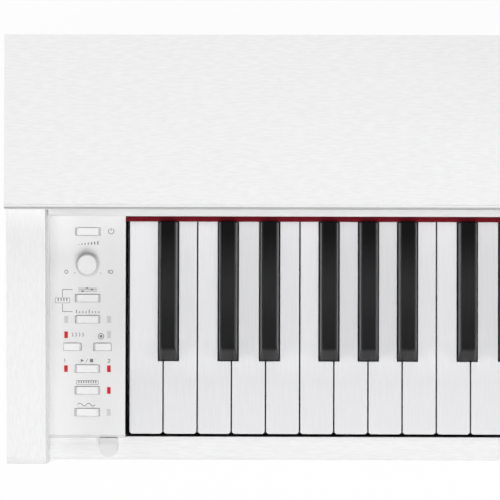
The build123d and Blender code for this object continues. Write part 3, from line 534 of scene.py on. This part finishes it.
def make_felt():
    """A strip of felt in the place of its CAD solid."""
    low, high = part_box("felt_strip")
    rings = int((high.x - low.x) / FELT_STEP)
    vertices = []
    faces = []
    for ring in range(rings + 1):
        x = low.x + (high.x - low.x) * ring / rings
        front = low.y + FELT_UNEVEN * felt_wander(x, FELT_FRONT_PHASE)
        top = high.z - FELT_UNEVEN * felt_wander(x, FELT_TOP_PHASE)
        corner = upper_round(front, top, FELT_ROUND)
        profile = [(high.y, low.z), (front, low.z)] + corner + [(high.y, top - FELT_ROUND / 4)]
        vertices += [(x, y, z) for y, z in profile]
    count = len(profile)
    for ring in range(rings):
        for index in range(count):
            here = ring * count + index
            beside_it = ring * count + (index + 1) % count
            faces.append((here, here + count, beside_it + count, beside_it))
    faces.append(tuple(range(count)))
    faces.append(tuple(rings * count + index for index in range(count))[::-1])
    strip = new_piece("felt", vertices, faces, felt)
    for polygon in strip.data.polygons:
        polygon.use_smooth = len(polygon.vertices) == 4
    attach(strip, "cabinet")
    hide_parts("felt_strip")


make_felt()


# Edge band on the front of the top board, with painted shade: a grey line along its upper arris
BAND_PROUD = 2.6 * MM
BAND_LAP = 0.05 * MM
BAND_INSET = 0.3 * MM
BAND_ROUND = 0.9 * MM
BAND_SHADE_LINE = 1.3 * MM


def make_edge_band():
    """A thin strip with rounded front edges, as long as the board."""
    low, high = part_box("top_board")
    bottom = low.z + BAND_INSET
    top = high.z - BAND_INSET
    front = low.y - BAND_PROUD
    back = low.y + BAND_LAP
    rounds = lower_round(front, bottom, BAND_ROUND) + upper_round(front, top, BAND_ROUND)
    profile = [(back, bottom)] + rounds + [(back, top)]
    vertices = [(x, y, z) for x in (low.x, high.x) for y, z in profile]
    # Painted shade: the band's upper arris is grey.
    recolour(
        edge_band, EDGE_PAINTED_SHADE,
        ("Z", "GREATER_THAN", top - BAND_SHADE_LINE), ("Y", "LESS_THAN", front + BAND_SHADE_LINE),
    )
    band = new_piece("top_edge_band", vertices, prism_faces(0, len(profile), -1), edge_band)
    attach(band, "cabinet")


make_edge_band()


# Cross recesses on the heads of the back board's screws, as thin dark plates of painted shade
SCREW_HEAD_RADIUS = 4.5 * MM
RECESS_REACH = 2.4 * MM
RECESS_HALF = 0.6 * MM
RECESS_SUNK = 0.05 * MM
RECESS_PROUD = 0.02 * MM


def make_screw_recesses():
    """One cross for each screw head, in one mesh."""
    low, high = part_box("cabinet_screws")
    a, b = RECESS_HALF, RECESS_REACH
    cross = [
        (a, a), (a, b), (-a, b), (-a, a), (-b, a), (-b, -a),
        (-a, -a), (-a, -b), (a, -b), (a, -a), (b, -a), (b, a),
    ]
    vertices = []
    faces = []
    for x in (low.x + SCREW_HEAD_RADIUS, 0.0, high.x - SCREW_HEAD_RADIUS):
        for z in (low.z + SCREW_HEAD_RADIUS, high.z - SCREW_HEAD_RADIUS):
            faces += prism_faces(len(vertices), len(cross), -1)
            for y in (high.y - RECESS_SUNK, high.y + RECESS_PROUD):
                vertices += [(x + across, y, z + upward) for across, upward in cross]
    piece = new_piece("screw_recesses", vertices, faces, recess_shade)
    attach(piece, "cabinet")


make_screw_recesses()


# Thin tails that close the joint between each lid bumper and the panel behind it
BUMPER_LEVEL = 0.5
TAIL_LAP = 0.05 * MM
TAIL_INSET = 0.3 * MM
TAIL_DROP = 3.6 * MM


def make_bumper_tails():
    """A narrow block behind each bumper, in one mesh."""
    pads = nodes["rubber_pads"].data.vertices
    corners = [vertex.co for vertex in pads if vertex.co.z > BUMPER_LEVEL]
    front = max(corner.y for corner in corners) - TAIL_LAP
    back = PANEL_FRONT + TAIL_LAP
    bottom = min(corner.z for corner in corners) + TAIL_LAP
    top = max(corner.z for corner in corners) - TAIL_DROP
    vertices = []
    faces = []
    for side in (-1, 1):
        across = [corner.x for corner in corners if corner.x * side > 0]
        left = min(across) + TAIL_INSET
        right = max(across) - TAIL_INSET
        outline = [(left, front), (right, front), (right, back), (left, back)]
        faces += prism_faces(len(vertices), len(outline))
        vertices += [(x, y, z) for z in (bottom, top) for x, y in outline]
    piece = new_piece("bumper_tails", vertices, faces, rubber)
    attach(piece, "cabinet")


make_bumper_tails()


# Printed signs: thin closed plates on the control panel, drawn round each sign's own middle
PRINT_SUNK = 0.02 * MM
PRINT_PROUD = 0.03 * MM
LINE = 0.45
THIN_LINE = 0.28
SHARPEST_MITRE = 0.4


def arc(radius, start, end, steps=24, middle=(0.0, 0.0)):
    """Points on an arc, angles in degrees."""
    angles = [radians(start + (end - start) * step / steps) for step in range(steps + 1)]
    return [(middle[0] + radius * cos(a), middle[1] + radius * sin(a)) for a in angles]


def circle_line(radius):
    """A full circle, drawn as two half circles."""
    return [stroke(arc(radius, 0, 180)), stroke(arc(radius, 180, 360))]


def stroke(points, width=LINE):
    """The outline of a line of the given width along the points."""
    left = []
    right = []
    for index, point in enumerate(points):
        before = Vector(points[max(index - 1, 0)])
        after = Vector(points[min(index + 1, len(points) - 1)])
        here = Vector(point)
        first = (here - before).normalized() if index > 0 else (after - here).normalized()
        second = (after - here).normalized() if index < len(points) - 1 else first
        side = (first + second).orthogonal().normalized()
        reach = width / 2 / max(abs(side.dot(first.orthogonal())), SHARPEST_MITRE)
        left.append(tuple(here + side * reach))
        right.append(tuple(here - side * reach))
    return left + right[::-1]


def box_line(width, height, line=LINE):
    """A rectangle drawn as four lines."""
    x = width / 2
    y = height / 2
    corners = [(-x, -y), (x, -y), (x, y), (-x, y)]
    return [stroke([corners[i], corners[(i + 1) % 4]], line) for i in range(4)]


def bar(x, low, high, width=LINE):
    """An upright filled bar."""
    return [(x - width / 2, low), (x + width / 2, low), (x + width / 2, high), (x - width / 2, high)]


def row(count, pitch):
    """Places in a row, on both sides of the middle."""
    return [(index - (count - 1) / 2) * pitch for index in range(count)]


def shifted(outlines, x, y):
    """The same outlines in another place."""
    return [[(across + x, upward + y) for across, upward in outline] for outline in outlines]


def print_sign(name, outlines, place):
    """Makes a sign from its outlines as a plate on the panel, at a place in metres."""
    vertices = []
    faces = []
    for outline in outlines:
        pairs = zip(outline, outline[1:] + outline[:1])
        area = sum(a[0] * b[1] - b[0] * a[1] for a, b in pairs)
        points = outline if area > 0 else outline[::-1]
        faces += prism_faces(len(vertices), len(points))
        for level in (place.z - PRINT_SUNK, place.z + PRINT_PROUD):
            vertices += [(place.x + x * MM, place.y + y * MM, level) for x, y in points]
    piece = new_piece(name, vertices, faces, ink)
    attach(piece, "cabinet")


def beside(name, x, y):
    """A place on the panel's surface, in millimetres from a control's middle."""
    low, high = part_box(name)
    return Vector(((low.x + high.x) / 2 + x * MM, (low.y + high.y) / 2 + y * MM, PANEL_TOP))


def numeral(text, height=2.2):
    """Plain numerals drawn with lines."""
    half = height / 2
    width = height * 0.6
    hook = arc(width / 2, 170, -40, 12, (0.0, half - width / 2))
    shapes = {
        "0": circle_line(half),
        "1": [stroke([(-width / 3, half * 0.5), (0.0, half), (0.0, -half)])],
        "2": [stroke(hook + [(-width / 2, -half), (width / 2, -half)])],
    }
    outlines = []
    for character, x in zip(text, row(len(text), width * 1.4)):
        outlines += shifted(shapes[character], x, 0.0)
    return outlines


def power_sign(radius=1.9, start=125, end=415, line_low=0.4, line_high=2.3):
    """A broken ring with an upright line."""
    return [stroke(arc(radius, start, end)), bar(0.0, line_low, line_high)]


def rising_bars(count=7, pitch=2.2, foot=-1.2, tallest=2.4, width=0.8):
    """A row of bars that grow, for loudness."""
    return [
        bar(x, foot, foot + tallest * (index + 1) / count, width)
        for index, x in enumerate(row(count, pitch))
    ]


def volume_scale(radius=11.3, tick=1.4, low_end=212, high_end=-32):
    """A tick at each end of the knob's turn."""
    outlines = []
    for angle in (low_end, high_end):
        inner, outer = (arc(reach, angle, angle, 1)[0] for reach in (radius - tick, radius))
        outlines.append(stroke([inner, outer], THIN_LINE))
    return outlines


def sliders(handles=(-3.5, 3.0, -0.5), length=13.0, pitch=1.1, half_height=0.5, width=1.6):
    """Lines with a block on each, for settings."""
    outlines = []
    for handle, y in zip(handles, row(len(handles), pitch)):
        outlines.append(stroke([(-length / 2, y), (length / 2, y)], THIN_LINE))
        outlines.append(bar(handle, y - half_height, y + half_height, width))
    return outlines


def beats(count=8, pitch=2.2, foot=-1.1, tall=1.2, short=0.1, width=0.55):
    """A row of beats, every fourth one tall."""
    return [
        bar(x, foot, tall if index % 4 == 0 else short, width)
        for index, x in enumerate(row(count, pitch))
    ]


def echoes(count=4, pitch=2.4, radius=1.6, opening=55):
    """Arcs that follow each other, for an echo."""
    return [
        stroke(arc(radius, -opening, opening, 10, ((index - count / 2) * pitch, 0.0)))
        for index in range(count)
    ]


def record_sign(disc=1.0, outer=1.9):
    """A filled disc in a ring."""
    return [arc(disc, 0, 345, 23)] + circle_line(outer)


def play_stop_sign(half_height=1.2):
    """A triangle, a slanted line and a square."""
    triangle = [(-4.4, -half_height), (-2.2, 0.0), (-4.4, half_height)]
    slash = stroke([(-0.9, -1.3), (0.6, 1.3)], THIN_LINE)
    square = bar(3.05, -half_height, half_height, 2.3)
    return [triangle, slash, square]


def small_keyboard(width=15.0, height=2.6, keys=9, sharp_width=0.7, sharp_foot=-0.3):
    """A strip of keys."""
    outlines = box_line(width, height, THIN_LINE)
    for x in row(keys - 1, width / keys):
        outlines.append(bar(x, height / 2 * sharp_foot, height / 2, sharp_width))
    return outlines


def wave(width=12.0, height=1.0, periods=2, steps=32):
    """A sine wave."""
    points = [
        (width * (step / steps - 0.5), height * sin(2 * pi * periods * step / steps))
        for step in range(steps + 1)
    ]
    return [stroke(points)]


def key_lock_bracket(arm=-17.4, reach=-10.5, top=6.0, bottom=-9.2, sign=-1.5, gap=2.2, line=0.4):
    """A bracket that joins two buttons, with a small keyboard across it."""
    halves = [
        stroke([(reach, top), (arm, top), (arm, sign + gap)], line),
        stroke([(reach, bottom), (arm, bottom), (arm, sign - gap)], line),
    ]
    return halves + shifted(small_keyboard(10.0, 3.4, 5), arm, sign)


# Name, outlines, the control that the sign belongs to, and its place from there
SIGNS = (
    ("power_sign", power_sign(), "power_button", (16.1, 0.3)),
    ("loudness_sign", rising_bars(), "volume_knob", (0.3, 15.2)),
    ("volume_scale", volume_scale(), "volume_knob", (0.0, 0.0)),
    ("volume_low_numeral", numeral("0"), "volume_knob", (-14.8, -4.8)),
    ("volume_high_numeral", numeral("10"), "volume_knob", (15.3, -4.8)),
    ("settings_sign", sliders(), "function_button", (0.0, 6.0)),
    ("key_lock_bracket", key_lock_bracket(), "function_button", (0.0, 0.0)),
    ("beat_sign", beats(), "metronome_button", (0.0, 5.5)),
    ("echo_sign", echoes(), "reverb_button", (3.4, 8.5)),
    ("record_sign", record_sign(), "record_button", (-1.0, 7.4)),
    ("play_stop_sign", play_stop_sign(), "play_button", (-0.2, 5.6)),
    ("first_track_numeral", numeral("1"), "play_button", (-15.6, 5.5)),
    ("second_track_numeral", numeral("2"), "play_button", (14.9, 5.5)),
    ("first_tone_sign", small_keyboard(), "tone_one_button", (0.0, 5.5)),
    ("second_tone_sign", wave(), "tone_two_button", (-0.6, 5.3)),
)
for sign_name, sign_outlines, control, offset in SIGNS:
    print_sign(sign_name, sign_outlines, beside(control, *offset))


# Studio: a pale floor, soft lights above, on both sides, in front and behind, and an even sky
FLOOR_HALF = 8.0
FLOOR_COLOUR = (0.9, 0.9, 0.9)
FLOOR_GLOW_SHARE = 0.94
SKY_STRENGTH = 0.24
WHITE = (1, 1, 1, 1)
LIGHT_TARGET = (0.0, 0.0, 0.6)
# Name, place, size and power
LAMPS = (
    ("main_light", (-0.3, -1.65, 4.6), 2.0, 106.0),
    ("left_light", (-3.0, -0.6, 1.8), 2.0, 20.0),
    ("right_light", (3.0, -0.6, 1.8), 2.0, 31.0),
    ("front_light", (-0.5, -3.0, 1.3), 0.8, 9.0),
    ("back_light", (0.0, 3.2, 2.0), 2.0, 40.0),
)


def background_rays(tree):
    """One for the rays that show the background: from the camera, in gloss and through glass."""
    path = tree.nodes.new("ShaderNodeLightPath")
    total = path.outputs["Is Camera Ray"]
    for name in ("Is Glossy Ray", "Is Transmission Ray"):
        total = calculate(tree, "MAXIMUM", total, path.outputs[name])
    return total


def make_floor():
    """A white floor that keeps a faint shadow."""
    side = FLOOR_HALF
    corners = [(-side, -side, 0.0), (side, -side, 0.0), (side, side, 0.0), (-side, side, 0.0)]
    material, tree, shader = new_material("floor", FLOOR_COLOUR, roughness=0.8, specular=0.1)
    glow = tree.nodes.new("ShaderNodeEmission")
    mix = tree.nodes.new("ShaderNodeMixShader")
    share = calculate(tree, "MULTIPLY", background_rays(tree), FLOOR_GLOW_SHARE)
    tree.links.new(share, mix.inputs["Fac"])
    tree.links.new(shader.outputs["BSDF"], mix.inputs[1])
    tree.links.new(glow.outputs["Emission"], mix.inputs[2])
    tree.links.new(mix.outputs["Shader"], tree.nodes["Material Output"].inputs["Surface"])
    floor = new_piece("floor", corners, [(0, 1, 2, 3)], material)


def make_sky():
    """Even light from all sides, and white behind the object."""
    world = bpy.data.worlds.new("sky")
    world.use_nodes = True
    tree = world.node_tree
    light = tree.nodes["Background"]
    light.inputs["Color"].default_value = WHITE
    light.inputs["Strength"].default_value = SKY_STRENGTH
    white = tree.nodes.new("ShaderNodeBackground")
    white.inputs["Color"].default_value = WHITE
    mix = tree.nodes.new("ShaderNodeMixShader")
    path = tree.nodes.new("ShaderNodeLightPath")
    tree.links.new(path.outputs["Is Camera Ray"], mix.inputs["Fac"])
    tree.links.new(light.outputs["Background"], mix.inputs[1])
    tree.links.new(white.outputs["Background"], mix.inputs[2])
    tree.links.new(mix.outputs["Shader"], tree.nodes["World Output"].inputs["Surface"])
    bpy.context.scene.world = world


def aim(thing, target):
    """Points an object's -Z axis at a target, with the part's +Y upwards in its picture."""
    forward = (Vector(target) - thing.location).normalized()
    right = forward.cross(Vector((0, 1, 0))).normalized()
    upward = right.cross(forward)
    thing.rotation_euler = Matrix((right, upward, -forward)).transposed().to_euler()


def soft_light(name, place, size, power):
    """A large square lamp."""
    lamp = bpy.data.lights.new(name, "AREA")
    lamp.size = size
    lamp.energy = power
    thing = bpy.data.objects.new(name, lamp)
    thing.location = place
    bpy.context.scene.collection.objects.link(thing)
    aim(thing, LIGHT_TARGET)


def make_camera():
    """The photograph's camera: far above the bass end, looking almost straight down."""
    lens = bpy.data.cameras.new("camera")
    lens.sensor_width = SENSOR_MM
    lens.lens = FOCAL_PIXELS / IMAGE_PIXELS * SENSOR_MM
    lens.clip_end = CAMERA_REACH
    camera = bpy.data.objects.new("camera", lens)
    camera.location = CAMERA_PLACE
    bpy.context.scene.collection.objects.link(camera)
    aim(camera, VIEW_CENTRE)
    camera.rotation_euler.rotate_axis("Z", CAMERA_ROLL)
    bpy.context.scene.camera = camera


make_floor()
make_sky()
for lamp_values in LAMPS:
    soft_light(*lamp_values)
make_camera()
bpy.context.scene.view_settings.view_transform = "Standard"
